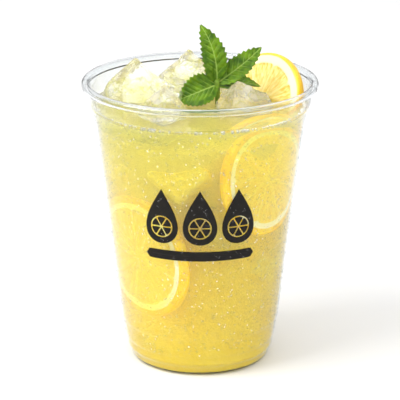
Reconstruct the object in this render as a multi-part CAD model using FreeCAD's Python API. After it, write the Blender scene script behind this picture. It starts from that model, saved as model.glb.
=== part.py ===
"""Cup of lemonade: a clear thermoformed cup, its drink, ice, a lemon slice and a mint sprig.

All lengths are in millimetres and all angles in degrees. +Z is up, the origin is the centre of
the cup's foot on the surface that it stands on, and the front of the drink faces -Y.
"""
import FreeCAD, Part
import math
import os

from FreeCAD import Vector

# ---- The cup: one formed sheet, described by the line halfway through its thickness ----
CUP_HEIGHT = 120.0            # surface to the top of the rolled rim
RIM_RADIUS = 49.0             # outermost point of the rolled rim
WALL = 0.55                   # sheet thickness
CURL_RADIUS = 1.7             # outside radius of the rolled rim's tube
CURL_SWEEP = 290.0            # how far round the sheet is rolled
NECK_HEIGHT = 10.0            # rim top down to the foot of the neck
NECK_FLARE = 0.6              # the neck's widening over its height
SHOULDER_HEIGHT = 3.0         # the sharp flare under the neck
SHOULDER_DEPTH = 1.5          # how far that flare stands out
COLLAR_HEIGHT = 7.0           # the gentle flare under the shoulder
COLLAR_DEPTH = 1.4            # how far that flare stands out
RIB_HEIGHTS = (17.0, 9.0)     # the two stacking ribs, upper first
RIB_RADII = (32.6, 31.2)      # wall radius at each rib
RIB_STEP = 0.4                # how far the wall steps in under each rib
RIB_DROP = 0.5                # height of that step
HEEL_HEIGHT = 5.0             # top of the heel's step
HEEL_RADIUS = 29.6            # wall radius under that step
HEEL_STEP = 1.0               # how far the step stands out
FOOT_OUTER_RADIUS = 28.6      # the flat ring that the cup stands on
FOOT_INNER_RADIUS = 25.6
PANEL_RISE = 1.4              # the raised panel inside the foot ring
PANEL_SLOPE = 1.2             # width of the slope up to that panel
SOFT_ROUND = 0.5              # forming radius at the small steps
FOOT_ROUND = 1.4              # forming radius at the heel
WIDE_ROUND = 3.0              # forming radius at the gentle turns

# ---- The drink ----
HEADSPACE = 11.4              # rim top down to the liquid's surface

# ---- The lemon slice that stands at the back right ----
SLICE_RADIUS = 23.0
SLICE_THICKNESS = 4.0
ZEST_ROUND = 0.9              # rounding of the peel's two edges
RIND_WIDTH = 4.6              # peel and white pith together
SEGMENT_COUNT = 9
SEGMENT_CORE = 2.0            # radius of the white core
MEMBRANE = 0.7                # width of the skin between two segments
FLESH_DIP = 0.3               # how far the flesh lies below the pith
SLICE_HEIGHT = -4.3           # slice centre above the liquid's surface
SLICE_BEARING = 32.0          # direction from the cup's axis to the slice's centre
SLICE_FACING = 222.6          # direction that the slice's front face looks
SLICE_LEAN = 27.0             # how far its top leans back from upright
WALL_GAP = 0.4                # clearance between the cup's wall and what stands beside it

# ---- The ice that shows above the drink ----
ICE_DRAFT = 0.86              # an ice block's top face compared with its bottom face
ICE_ROUND = 1.1               # melted rounding of its edges
ICE_GAP = 0.3                 # clearance between two pieces
MELT_DEPTH = 1.6              # depth of the hollow melted into one face
MELT_RADIUS = 22.0            # radius of that hollow
CORNER_CUT = 4.5              # how far a broken corner is cut back along the diagonal

# ---- The mint sprig ----
LEAF_THICKNESS = 0.6
TOOTH_COUNT = 11              # teeth on each side of a full leaf
TOOTH_DEPTH = 0.55
LEAF_CUP_RADIUS = 11.0        # curvature across a leaf
STEM_WIDTH = 2.2              # the stem is square, as a mint's is
STEM_LENGTH = 22.0
STEM_TAPER = 0.7              # its foot compared with its top
HEART_HEIGHT = 9.4            # the point where the leaves meet, above the liquid's surface
HEART_BEARING = 215.4         # direction from the slice's centre to that point
HEART_DISTANCE = 22.1         # its distance from the slice's centre, seen from above
STEM_CLEARANCE = 0.3          # clearance between the stem and the ice beside it


class IceBlock:
    """Sizes and place of one block; share is its distance out, as a part of the pool's radius."""

    def __init__(self, size, bearing, share, height, turn):
        self.size = size
        self.bearing = bearing
        self.share = share
        self.height = height
        self.turn = turn


ICE_BLOCKS = {
    "ice_1": IceBlock(size=(23.0, 21.0, 21.0), bearing=150.0, share=0.685, height=0.0, turn=(200, 38, 42)),
    "ice_2": IceBlock(size=(20.0, 19.0, 20.0), bearing=99.0, share=0.60, height=2.4, turn=(215, 32, 47)),
    "ice_3": IceBlock(size=(18.0, 18.0, 19.0), bearing=224.0, share=0.46, height=-0.7, turn=(-32, 36, 44)),
    "ice_4": IceBlock(size=(21.0, 17.0, 17.0), bearing=345.0, share=0.43, height=-1.2, turn=(10, 26, 42)),
    "ice_5": IceBlock(size=(16.0, 14.0, 9.0), bearing=146.0, share=0.33, height=4.6, turn=(-24, 20, 10)),
}


class Leaf:
    """Sizes and pose of one leaf.

    drop is how far below the heart it grows, bend the radius that it arches over along its
    length, and sway how far its middle bows to its left.
    """

    def __init__(self, length, width, drop, bearing, rise, roll, bend, sway):
        self.length = length
        self.width = width
        self.drop = drop
        self.bearing = bearing
        self.rise = rise
        self.roll = roll
        self.bend = bend
        self.sway = sway


LEAVES = (
    Leaf(24.5, 9.4, drop=0.2, bearing=163.0, rise=72.0, roll=-78.0, bend=70.0, sway=-2.2),
    Leaf(24.0, 8.6, drop=0.6, bearing=8.0, rise=41.0, roll=60.0, bend=60.0, sway=-0.8),
    Leaf(18.0, 12.5, drop=1.2, bearing=203.0, rise=-8.0, roll=-52.0, bend=22.0, sway=0.5),
    Leaf(21.0, 9.5, drop=1.7, bearing=22.0, rise=7.0, roll=20.0, bend=40.0, sway=0.6),
    Leaf(9.0, 5.0, drop=-0.3, bearing=80.0, rise=66.0, roll=60.0, bend=20.0, sway=0.4),
    Leaf(8.0, 4.5, drop=-0.7, bearing=150.0, rise=40.0, roll=-60.0, bend=14.0, sway=-0.3),
)


def bearing_vector(bearing):
    """Unit vector in the horizontal plane, turned counter-clockwise from +X."""
    return Vector(math.cos(math.radians(bearing)), math.sin(math.radians(bearing)), 0)


# ---- Profile of the cup: lines and tangent arcs in the plane of radius and height ----


class Line:
    """A straight run from start to end, each a (radius, height) pair."""

    def __init__(self, start, end):
        self.start = start
        self.end = end

    def shifted(self, distance):
        """The same run moved to its left, which is the inside of the cup."""
        run = self.end[0] - self.start[0]
        rise = self.end[1] - self.start[1]
        length = math.hypot(run, rise)
        move = (-rise / length * distance, run / length * distance)
        return Line(added(self.start, move), added(self.end, move))

    def edge(self):
        return Part.LineSegment(section_point(self.start), section_point(self.end)).toShape()


class Arc:
    """A turn about a centre from one angle to another; the sign of the sweep is its direction."""

    def __init__(self, centre, radius, first, last):
        self.centre = centre
        self.radius = radius
        self.first = first
        self.last = last

    def point(self, share):
        angle = math.radians(self.first + (self.last - self.first) * share)
        return added(self.centre, (self.radius * math.cos(angle), self.radius * math.sin(angle)))

    def shifted(self, distance):
        """The concentric turn to the left of this one."""
        side = 1 if self.last < self.first else -1
        return Arc(self.centre, self.radius + side * distance, self.first, self.last)

    @property
    def start(self):
        return self.point(0)

    @property
    def end(self):
        return self.point(1)

    def edge(self):
        points = [section_point(self.point(share)) for share in (0, 0.5, 1)]
        return Part.Arc(*points).toShape()


def added(point, move):
    return (point[0] + move[0], point[1] + move[1])


def section_point(point):
    """The (radius, height) pair as a point in the plane y = 0."""
    return Vector(point[0], 0, point[1])


def direction(start, end):
    """Angle of the way from start to end."""
    return math.degrees(math.atan2(end[1] - start[1], end[0] - start[0]))


def rounded_path(corners):
    """Lines through (radius, height, rounding) corners, with a tangent arc at each rounded one."""
    pieces = []
    position = corners[0][:2]
    for before, corner, after in zip(corners, corners[1:], corners[2:]):
        heading = direction(before[:2], corner[:2])
        turn = (direction(corner[:2], after[:2]) - heading + 180) % 360 - 180
        rounding = corner[2]
        tangent = rounding * math.tan(math.radians(abs(turn) / 2))
        arc_start = added(corner[:2], polar(-tangent, heading))
        side = math.copysign(90, turn)
        centre = added(arc_start, polar(rounding, heading + side))
        pieces.append(Line(position, arc_start))
        pieces.append(Arc(centre, rounding, heading - side, heading - side + turn))
        position = pieces[-1].end
    pieces.append(Line(position, corners[-1][:2]))
    return pieces


def polar(length, angle):
    return (length * math.cos(math.radians(angle)), length * math.sin(math.radians(angle)))


def cup_corners():
    """Corners of the sheet's middle line, from the axis out and up to the rolled rim."""
    neck_radius = RIM_RADIUS - 2 * CURL_RADIUS + WALL / 2
    neck_foot = CUP_HEIGHT - NECK_HEIGHT
    shoulder_foot = neck_foot - SHOULDER_HEIGHT
    collar_foot = shoulder_foot - COLLAR_HEIGHT
    shoulder_radius = neck_radius - NECK_FLARE
    collar_radius = shoulder_radius - SHOULDER_DEPTH
    cone_radius = collar_radius - COLLAR_DEPTH
    curl_height = CUP_HEIGHT - CURL_RADIUS
    corners = [
        (0, PANEL_RISE + WALL / 2, 0),
        (FOOT_INNER_RADIUS - PANEL_SLOPE, PANEL_RISE + WALL / 2, SOFT_ROUND),
        (FOOT_INNER_RADIUS, WALL / 2, SOFT_ROUND),
        (FOOT_OUTER_RADIUS, WALL / 2, FOOT_ROUND),
        (HEEL_RADIUS, HEEL_HEIGHT - HEEL_STEP, SOFT_ROUND),
        (HEEL_RADIUS + HEEL_STEP, HEEL_HEIGHT, SOFT_ROUND),
    ]
    for height, radius in reversed(list(zip(RIB_HEIGHTS, RIB_RADII))):
        corners.append((radius - RIB_STEP, height - RIB_DROP, SOFT_ROUND))
        corners.append((radius, height, SOFT_ROUND))
    corners += [
        (cone_radius, collar_foot, WIDE_ROUND),
        (collar_radius, shoulder_foot, WIDE_ROUND),
        (shoulder_radius, neck_foot, WIDE_ROUND),
        (neck_radius, (neck_foot + curl_height) / 2, WIDE_ROUND),
        (neck_radius, curl_height, 0),
    ]
    return corners


def rim_curl():
    """The sheet's last run: rolled outwards and down from the top of the neck."""
    radius = CURL_RADIUS - WALL / 2
    centre = (RIM_RADIUS - CURL_RADIUS, CUP_HEIGHT - CURL_RADIUS)
    return Arc(centre, radius, 180, 180 - CURL_SWEEP)


def revolved(pieces):
    """Solid of revolution about +Z whose section is closed by the given lines and arcs."""
    face = Part.Face(Part.Wire([piece.edge() for piece in pieces]))
    return face.revolve(Vector(0, 0, 0), Vector(0, 0, 1), 360)


def make_cup():
    """The formed sheet: its middle line shifted both ways and closed at the axis and the curl."""
    middle = rounded_path(cup_corners()) + [rim_curl()]
    inside = [piece.shifted(WALL / 2) for piece in middle]
    outside = [piece.shifted(-WALL / 2) for piece in middle]
    rolled_edge = Line(inside[-1].end, outside[-1].end)
    on_axis = Line(outside[0].start, inside[0].start)
    return revolved(inside + [rolled_edge] + outside[::-1] + [on_axis])


def make_cup_space():
    """Everything inside the cup up to the top of its neck, wall to wall."""
    inside = [piece.shifted(WALL / 2) for piece in rounded_path(cup_corners())]
    top_centre = (0, inside[-1].end[1])
    return revolved(inside + [Line(inside[-1].end, top_centre), Line(top_centre, inside[0].start)])


def inside_radius(height):
    """Radius of the cup's inner face at a height, between the corners of its profile."""
    corners = cup_corners()
    for low, high in zip(corners, corners[1:]):
        if low[1] <= height <= high[1] and high[0] >= low[0] and high[1] > low[1]:
            share = (height - low[1]) / (high[1] - low[1])
            return low[0] + (high[0] - low[0]) * share - WALL / 2
    return corners[-1][0] - WALL / 2


def surface_height():
    """Height of the liquid's surface."""
    return CUP_HEIGHT - HEADSPACE


def make_drink(sunk_pieces):
    """The cup's space up to the liquid's surface, cut round what stands in it."""
    below = Part.makeCylinder(RIM_RADIUS, surface_height())
    return make_cup_space().common(below).cut(Part.makeCompound(sunk_pieces))


# ---- Lemon slice ----


def wedge(inner, outer, angle, depth):
    """One segment's outline about +X, from the core to the pith, without its two membranes."""
    half_skin = MEMBRANE / 2
    start_x = inner + half_skin / math.sin(math.radians(angle / 2))
    side = math.radians(angle / 2) - math.asin(half_skin / outer)
    corner = Vector(outer * math.cos(side), outer * math.sin(side), 0)
    mirrored = Vector(corner.x, -corner.y, 0)
    core = Vector(start_x, 0, 0)
    outline = Part.Wire([
        Part.makeLine(core, mirrored),
        Part.Arc(mirrored, Vector(outer, 0, 0), corner).toShape(),
        Part.makeLine(corner, core),
    ])
    return Part.Face(outline).extrude(Vector(0, 0, depth))


def make_slice_flat():
    """The slice centred on the origin with its faces along +Z and -Z."""
    low = -SLICE_THICKNESS / 2
    disc = Part.makeCylinder(SLICE_RADIUS, SLICE_THICKNESS, Vector(0, 0, low))
    rounds = [edge for edge in disc.Edges if isinstance(edge.Curve, Part.Circle)]
    disc = disc.makeFillet(ZEST_ROUND, rounds)
    angle = 360 / SEGMENT_COUNT
    pocket = wedge(SEGMENT_CORE, SLICE_RADIUS - RIND_WIDTH, angle, FLESH_DIP)
    pockets = []
    for floor in (low, -low - FLESH_DIP):
        for number in range(SEGMENT_COUNT):
            turned = pocket.copy()
            turned.rotate(Vector(0, 0, 0), Vector(0, 0, 1), number * angle)
            turned.translate(Vector(0, 0, floor))
            pockets.append(turned)
    return disc.cut(Part.makeCompound(pockets))


def slice_rotation():
    """Turns +Z to the way that the slice's face looks and +Y to its leaning top."""
    out = bearing_vector(SLICE_FACING)
    lean = math.radians(SLICE_LEAN)
    face = out * math.cos(lean) + Vector(0, 0, math.sin(lean))
    top = Vector(0, 0, math.cos(lean)) - out * math.sin(lean)
    return FreeCAD.Rotation(top.cross(face), top, face, "ZXY")


def slice_edge_points(rotation, centre):
    """Points round the peel's two edges."""
    points = []
    for face in (-SLICE_THICKNESS / 2, SLICE_THICKNESS / 2):
        for angle in range(0, 360, 5):
            flat = bearing_vector(angle) * SLICE_RADIUS + Vector(0, 0, face)
            points.append(centre + rotation.multVec(flat))
    return points


def slice_distance(rotation):
    """How far out the slice's centre can stand before its peel meets the wall."""
    distance = 0
    step = WALL_GAP / 4
    height = Vector(0, 0, surface_height() + SLICE_HEIGHT)
    clear = True
    while clear:
        distance += step
        centre = bearing_vector(SLICE_BEARING) * distance + height
        clear = all(
            math.hypot(point.x, point.y) < inside_radius(point.z) - WALL_GAP
            for point in slice_edge_points(rotation, centre)
        )
    return distance - step


def slice_placement():
    rotation = slice_rotation()
    out = bearing_vector(SLICE_BEARING) * slice_distance(rotation)
    return FreeCAD.Placement(out + Vector(0, 0, surface_height() + SLICE_HEIGHT), rotation)


def make_slice():
    piece = make_slice_flat()
    piece.Placement = slice_placement()
    return piece


def make_slice_space(gap):
    """The plain disc that the slice takes up, with a gap all round."""
    thickness = SLICE_THICKNESS + 2 * gap
    disc = Part.makeCylinder(SLICE_RADIUS + gap, thickness, Vector(0, 0, -thickness / 2))
    disc.Placement = slice_placement()
    return disc


# ---- Ice ----


def make_block(size):
    """A rounded block with draft, one broken corner and a hollow melted into its top."""
    width, depth, height = size
    x, y, z = width / 2, depth / 2, height / 2
    block = Part.makeWedge(
        -x, -z, -y, -y * ICE_DRAFT, -x * ICE_DRAFT,
        x, z, y, y * ICE_DRAFT, x * ICE_DRAFT,
    )
    block.rotate(Vector(0, 0, 0), Vector(1, 0, 0), 90)
    block = block.makeFillet(ICE_ROUND, block.Edges)
    top_centre = Vector(0, 0, z - MELT_DEPTH + MELT_RADIUS)
    hollow = Part.makeSphere(MELT_RADIUS, top_centre)
    return block.cut(hollow).cut(corner_cutter(Vector(x, y, z)))


def corner_cutter(corner):
    """A large box beyond the plane that breaks a block's corner across its diagonal."""
    reach = corner.Length
    box = Part.makeBox(2 * reach, 2 * reach, reach, Vector(-reach, -reach, reach - CORNER_CUT))
    box.Placement = FreeCAD.Placement(Vector(0, 0, 0), FreeCAD.Rotation(Vector(0, 0, 1), corner))
    return box


def placed_block(block):
    """The block turned and set in the pool of ice."""
    shape = make_block(block.size)
    pool = inside_radius(surface_height())
    place = bearing_vector(block.bearing) * (pool * block.share)
    place.z = surface_height() + block.height
    shape.Placement = FreeCAD.Placement(place, FreeCAD.Rotation(*block.turn))
    return shape


def make_room(gap):
    """The cup's inside up to its rim, drawn in from the wall by a gap."""
    corners = [corner for corner in cup_corners() if corner[1] > HEEL_HEIGHT]
    walls = [(radius - WALL / 2 - gap, height) for radius, height, _ in corners]
    outline = [(0, walls[0][1])] + walls + [(0, walls[-1][1])]
    sides = [Line(start, end) for start, end in zip(outline, outline[1:] + outline[:1])]
    return revolved(sides)


def largest_solid(shape):
    return max(shape.Solids, key=lambda solid: solid.Volume)


def make_ice(kept_clear):
    """All blocks, each melted back where it would meet the wall, a garnish or an earlier block."""
    room = make_room(WALL_GAP)
    pieces = {}
    taken = list(kept_clear)
    for name, block in ICE_BLOCKS.items():
        piece = placed_block(block)
        above = Part.makeCylinder(RIM_RADIUS, CUP_HEIGHT, Vector(0, 0, CUP_HEIGHT - CURL_RADIUS))
        piece = piece.common(room.fuse(above))
        for other in taken:
            piece = piece.cut(other)
        pieces[name] = largest_solid(piece)
        taken.append(pieces[name])
    return pieces


# ---- Mint ----


def half_width(leaf, share):
    """Half of a leaf's width at a share of its length: widest below the middle, pointed tip."""
    return leaf.width / 2 * math.sin(math.pi * share ** 0.75) ** 0.8


def leaf_outline(leaf):
    """The toothed outline seen from above, as a wire in the plane z = 0."""
    one_side = []
    for tooth in range(TOOTH_COUNT):
        valley = tooth / TOOTH_COUNT
        tip = (tooth + 0.8) / TOOTH_COUNT
        one_side.append((valley, half_width(leaf, valley)))
        one_side.append((tip, half_width(leaf, tip) + TOOTH_DEPTH))
    left = [blade_point(leaf, share, y) for share, y in one_side]
    right = [blade_point(leaf, share, -y) for share, y in reversed(one_side[1:])]
    return Part.makePolygon(left + [blade_point(leaf, 1, 0)] + right + [left[0]])


def blade_point(leaf, share, offset):
    """A point beside the midrib, seen from above: the arch shortens x and the sway shifts y."""
    reach = leaf.bend * math.sin(share * leaf.length / leaf.bend)
    bow = 4 * leaf.sway * share * (1 - share)
    return Vector(reach, offset + bow, 0)


def leaf_sheet(leaf):
    """A thin sheet cupped across the leaf and arched along it."""
    half_angle = math.asin((leaf.width / 2 + abs(leaf.sway) + 2 * TOOTH_DEPTH) / LEAF_CUP_RADIUS)
    arcs = []
    for radius in (LEAF_CUP_RADIUS, LEAF_CUP_RADIUS + LEAF_THICKNESS):
        points = [
            Vector(0, radius * math.sin(angle), LEAF_CUP_RADIUS - radius * math.cos(angle))
            for angle in (-half_angle, 0, half_angle)
        ]
        arcs.append(points)
    top, bottom = arcs
    section = Part.Wire([
        Part.Arc(*top).toShape(),
        Part.makeLine(top[2], bottom[2]),
        Part.Arc(*reversed(bottom)).toShape(),
        Part.makeLine(bottom[0], top[0]),
    ])
    sweep = math.degrees(leaf.length / leaf.bend)
    return Part.Face(section).revolve(Vector(0, 0, -leaf.bend), Vector(0, 1, 0), sweep)


def make_leaf(leaf):
    """One leaf with its base at the origin and its length along +X before it is posed."""
    depth = leaf.length
    cutter = Part.Face(leaf_outline(leaf)).extrude(Vector(0, 0, 2 * depth))
    cutter.translate(Vector(0, 0, -depth))
    blade = leaf_sheet(leaf).common(cutter)
    turn = FreeCAD.Rotation(leaf.bearing, -leaf.rise, leaf.roll)
    base = heart_point() - Vector(0, 0, leaf.drop)
    blade.Placement = FreeCAD.Placement(base, turn)
    return blade


def heart_point():
    """Where the leaves meet at the top of the stem, in front of the lemon slice."""
    point = slice_placement().Base + bearing_vector(HEART_BEARING) * HEART_DISTANCE
    point.z = surface_height() + HEART_HEIGHT
    return point


def make_stem(gap):
    """The square stem, from the heart down into the drink, with a gap all round."""
    top = STEM_WIDTH / 2 + gap
    foot = STEM_WIDTH * STEM_TAPER / 2 + gap
    stem = Part.makeWedge(-foot, 0, -foot, -top, -top, foot, STEM_LENGTH, foot, top, top)
    stem.rotate(Vector(0, 0, 0), Vector(1, 0, 0), 90)
    stem.translate(heart_point() - Vector(0, 0, STEM_LENGTH - STEM_WIDTH / 2))
    return stem


def make_mint():
    """All leaves and the stem as one solid."""
    return make_stem(0).fuse([make_leaf(leaf) for leaf in LEAVES])


def main():
    slice_piece = make_slice()
    mint = make_mint()
    ice = make_ice([make_slice_space(ICE_GAP), make_stem(STEM_CLEARANCE), mint])
    sunk = [make_slice_space(0), make_stem(0)] + list(ice.values())
    nodes = {
        "cup": make_cup(),
        "lemonade": make_drink(sunk),
        "lemon_slice": slice_piece,
        "mint_sprig": mint,
    }
    nodes.update(ice)
    os.makedirs("parts", exist_ok=True)
    for name, shape in nodes.items():
        shape.exportStep(os.path.join("parts", name + ".step"))
        print(name, shape.isValid(), len(shape.Solids), round(shape.Volume / 1000, 2), "ml")


main()
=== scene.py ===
"""Looks of the cup of lemonade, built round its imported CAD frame.

Named lengths are in millimetres and angles in degrees, unless a comment says otherwise. +Z is up
and the front of the drink faces -Y.
"""
import functools
import math
import random

import bmesh
import bpy
import numpy as np
from mathutils import Matrix, Quaternion, Vector, noise


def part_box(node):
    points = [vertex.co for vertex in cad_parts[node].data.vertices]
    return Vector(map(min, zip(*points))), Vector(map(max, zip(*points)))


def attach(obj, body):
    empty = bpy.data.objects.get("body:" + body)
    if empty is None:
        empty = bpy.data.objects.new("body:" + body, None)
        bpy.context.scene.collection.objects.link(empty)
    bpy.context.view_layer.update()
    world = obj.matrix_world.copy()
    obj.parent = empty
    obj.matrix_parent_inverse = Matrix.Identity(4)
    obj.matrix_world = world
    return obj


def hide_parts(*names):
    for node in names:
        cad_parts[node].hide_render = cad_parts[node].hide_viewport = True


MM = 0.001
TINY = 1e-6  # keeps divisors above zero

# ---- Cup, as in the CAD ----
CUP_HEIGHT = 120.0
RIM_RADIUS = 49.0
WALL = 0.55
CURL_RADIUS = 1.7
CURL_SWEEP = 290.0
CUP_PROFILE = (
    # (radius, height) of the sheet's middle line, from the raised panel up to the neck
    (24.4, 1.675), (25.6, 0.275), (28.6, 0.275), (29.6, 4.0), (30.6, 5.0), (30.8, 8.5), (31.2, 9.0),
    (32.2, 16.5), (32.6, 17.0), (42.375, 100.0), (43.775, 107.0), (45.275, 110.0),
    (45.875, 114.15), (45.875, 118.3),
)
CORNER_REACH = 1.1  # how far from a corner its rounding starts
CORNER_LIMIT = 0.45  # and at most this share of the way to the next corner
CORNER_STEPS = 5
LEVEL = 108.6  # height of the liquid's surface
SIDES = 192  # facets round the cup


# ---- Mesh helpers ----

NOISE_SHIFT = (7.3, 3.1, 5.7)  # how far each seed moves on through the noise, in features


def smooth(mesh):
    """Shades the whole mesh as rounded."""
    mesh.polygons.foreach_set("use_smooth", [True] * len(mesh.polygons))


def new_object(name, vertices, faces):
    """A smooth mesh object from millimetre coordinates, in the scene's own collection."""
    mesh = bpy.data.meshes.new(name)
    mesh.from_pydata((np.asarray(vertices, float) * MM).tolist(), [], faces)
    mesh.validate()
    smooth(mesh)
    mesh.update()
    piece = bpy.data.objects.new(name, mesh)
    bpy.context.scene.collection.objects.link(piece)
    return piece


def round_angles(count):
    """Equal steps round a circle, in radians."""
    return np.arange(count) * 2 * math.pi / count


def ring(radius, height, sides):
    angles = round_angles(sides)
    return np.stack([radius * np.cos(angles), radius * np.sin(angles), np.full(sides, height)], 1)


def band_faces(first, second, sides):
    """Quads between two rings of vertices that start at those indices."""
    return [
        (first + k, first + (k + 1) % sides, second + (k + 1) % sides, second + k)
        for k in range(sides)
    ]


def stacked_faces(ring_count, sides, upwards=True):
    """Faces of a stack of rings that starts and ends in a single vertex, seen from outside."""
    last = 1 + ring_count * sides
    top = last - sides
    faces = [(0, 1 + (k + 1) % sides, 1 + k) for k in range(sides)]
    for index in range(ring_count - 1):
        faces += band_faces(1 + index * sides, 1 + (index + 1) * sides, sides)
    faces += [(last, top + k, top + (k + 1) % sides) for k in range(sides)]
    return faces if upwards else [face[::-1] for face in faces]


def lathe(name, profile, sides=SIDES):
    """A closed solid of revolution: the profile runs from the axis to the axis, upwards outside."""
    inner = profile[1:-1]
    vertices = [np.array([[0, 0, profile[0][1]]])]
    vertices += [ring(radius, height, sides) for radius, height in inner]
    vertices.append(np.array([[0, 0, profile[-1][1]]]))
    return new_object(name, np.concatenate(vertices), stacked_faces(len(inner), sides))


def rounded(points):
    """The polyline with each corner replaced by a short smooth curve."""
    made = [np.array(points[0], float)]
    for before, corner, after in zip(points, points[1:], points[2:]):
        corner = np.array(corner, float)
        back = np.array(before, float) - corner
        ahead = np.array(after, float) - corner
        start = corner + back * min(CORNER_LIMIT, CORNER_REACH / np.linalg.norm(back))
        end = corner + ahead * min(CORNER_LIMIT, CORNER_REACH / np.linalg.norm(ahead))
        for share in np.linspace(0, 1, CORNER_STEPS):
            bend = (1 - share) ** 2 * start + 2 * share * (1 - share) * corner + share ** 2 * end
            made.append(bend)
    made.append(np.array(points[-1], float))
    return np.array(made)


def shifted(path, distance):
    """The path moved to its left, which is the inside of the cup."""
    way = np.gradient(path, axis=0)
    way /= np.linalg.norm(way, axis=1)[:, None]
    return path + np.stack([-way[:, 1], way[:, 0]], 1) * distance


def apply_modifiers(piece):
    """Replaces the mesh by the one that its modifiers make."""
    graph = bpy.context.evaluated_depsgraph_get()
    mesh = bpy.data.meshes.new_from_object(piece.evaluated_get(graph))
    piece.modifiers.clear()
    old = piece.data
    piece.data = mesh
    bpy.data.meshes.remove(old)


def copied(piece, name):
    """A new object with a copy of the piece's mesh, without its materials."""
    other = bpy.data.objects.new(name, piece.data.copy())
    other.matrix_world = piece.matrix_world
    other.data.materials.clear()
    bpy.context.scene.collection.objects.link(other)
    return other


def carve(piece, blocks, distance):
    """Cuts closed blocks, each first made larger by a distance all round, out of a closed piece."""
    for block in blocks:
        cutter = copied(block, "cutter")
        push_along_normals(cutter.data, distance)
        cut = piece.modifiers.new("cut", "BOOLEAN")
        cut.operation = "DIFFERENCE"
        cut.solver = "MANIFOLD"
        cut.object = cutter
        apply_modifiers(piece)
        bpy.data.objects.remove(cutter)
    piece.data.materials.clear()


def triangulate(mesh):
    """Splits the long faces that a cut leaves, so that none folds over its neighbour."""
    shape = bmesh.new()
    shape.from_mesh(mesh)
    bmesh.ops.triangulate(shape, faces=shape.faces)
    shape.to_mesh(mesh)
    shape.free()


def coordinates(mesh):
    """The mesh's vertices as an array, in metres."""
    flat = np.empty(len(mesh.vertices) * 3)
    mesh.vertices.foreach_get("co", flat)
    return flat.reshape(-1, 3)


def set_coordinates(mesh, points):
    """Moves the mesh's vertices to points in metres."""
    mesh.vertices.foreach_set("co", points.ravel())
    mesh.update()


def normals(mesh):
    flat = np.empty(len(mesh.vertices) * 3)
    mesh.vertices.foreach_get("normal", flat)
    return flat.reshape(-1, 3)


def push_along_normals(mesh, distance):
    """Moves the surface outwards by a distance in millimetres, which may differ by vertex."""
    set_coordinates(mesh, coordinates(mesh) + normals(mesh) * np.reshape(distance, (-1, 1)) * MM)


def noise_at(points, size, seed):
    """Smooth noise from -1 to 1 at points in metres, with features of a size in millimetres."""
    shift = Vector([seed * part for part in NOISE_SHIFT])
    return np.array([noise.noise(Vector(point) / (size * MM) + shift) for point in points])


def store(mesh, name, values):
    """Keeps one number per vertex for a material to read."""
    attribute = mesh.attributes.new(name, "FLOAT", "POINT")
    attribute.data.foreach_set("value", np.asarray(values, float))


# ---- Material helpers ----

COLOR_A = 6  # the Mix node's colour sockets, which share their names with others
COLOR_B = 7
COLOR_RESULT = 2


class Nodes:
    """A material's node tree with short ways to add nodes and link them."""

    def __init__(self, name):
        self.material = bpy.data.materials.new(name)
        self.material.use_nodes = True
        self.tree = self.material.node_tree
        self.tree.nodes.clear()
        self.out = self.add("OutputMaterial")

    def add(self, kind, **settings):
        """A node of that kind with its properties set."""
        node = self.tree.nodes.new("ShaderNode" + kind)
        for key, value in settings.items():
            setattr(node, key, value)
        return node

    def link(self, value, socket):
        """Puts a number, a colour or another node's output into a socket."""
        if isinstance(value, bpy.types.NodeSocket):
            self.tree.links.new(value, socket)
        elif isinstance(value, tuple) and len(value) == 3 and len(socket.default_value) == 4:
            socket.default_value = (*value, 1)
        else:
            socket.default_value = value

    def math(self, operation, *values):
        node = self.add("Math", operation=operation)
        for value, socket in zip(values, node.inputs):
            self.link(value, socket)
        return node.outputs[0]

    def vector(self, operation, *values):
        node = self.add("VectorMath", operation=operation)
        for value, socket in zip(values, node.inputs):
            self.link(value, socket)
        return node.outputs["Value" if operation == "LENGTH" else "Vector"]

    def place(self):
        """The point on the piece in its own coordinates, in metres."""
        return self.add("TexCoord").outputs["Object"]

    def attribute(self, name):
        return self.add("Attribute", attribute_name=name).outputs["Fac"]

    def noise(self, scale, detail=3.0, vector=None, roughness=0.5):
        node = self.add("TexNoise")
        self.link(vector if vector is not None else self.place(), node.inputs["Vector"])
        self.link(scale, node.inputs["Scale"])
        self.link(detail, node.inputs["Detail"])
        self.link(roughness, node.inputs["Roughness"])
        return node.outputs["Fac"]

    def cells(self, scale, vector=None):
        node = self.add("TexVoronoi")
        self.link(vector if vector is not None else self.place(), node.inputs["Vector"])
        self.link(scale, node.inputs["Scale"])
        return node.outputs["Distance"]

    def ramp(self, value, low, high, to_low=0.0, to_high=1.0):
        """The value's way from low to high, smoothed and limited."""
        node = self.add("MapRange", interpolation_type="SMOOTHSTEP")
        for item, socket in zip((value, low, high, to_low, to_high), node.inputs):
            self.link(item, socket)
        return node.outputs[0]

    def mix(self, share, first, second):
        """A colour between two colours."""
        node = self.add("Mix", data_type="RGBA")
        self.link(share, node.inputs["Factor"])
        self.link(first, node.inputs[COLOR_A])
        self.link(second, node.inputs[COLOR_B])
        return node.outputs[COLOR_RESULT]

    def bump(self, height, distance):
        """A surface direction from a height; distance is in millimetres."""
        node = self.add("Bump")
        self.link(distance * MM, node.inputs["Distance"])
        self.link(height, node.inputs["Height"])
        return node.outputs["Normal"]

    def surface(self, **inputs):
        """The Principled shader with inputs given by name, underscores for spaces."""
        node = self.add("BsdfPrincipled")
        for key, value in inputs.items():
            self.link(value, node.inputs[key.replace("_", " ")])
        return node.outputs["BSDF"]

    def finish(self, surface, volume=None):
        self.tree.links.new(surface, self.out.inputs["Surface"])
        if volume is not None:
            self.tree.links.new(volume, self.out.inputs["Volume"])
        return self.material


# ---- Cup ----

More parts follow.
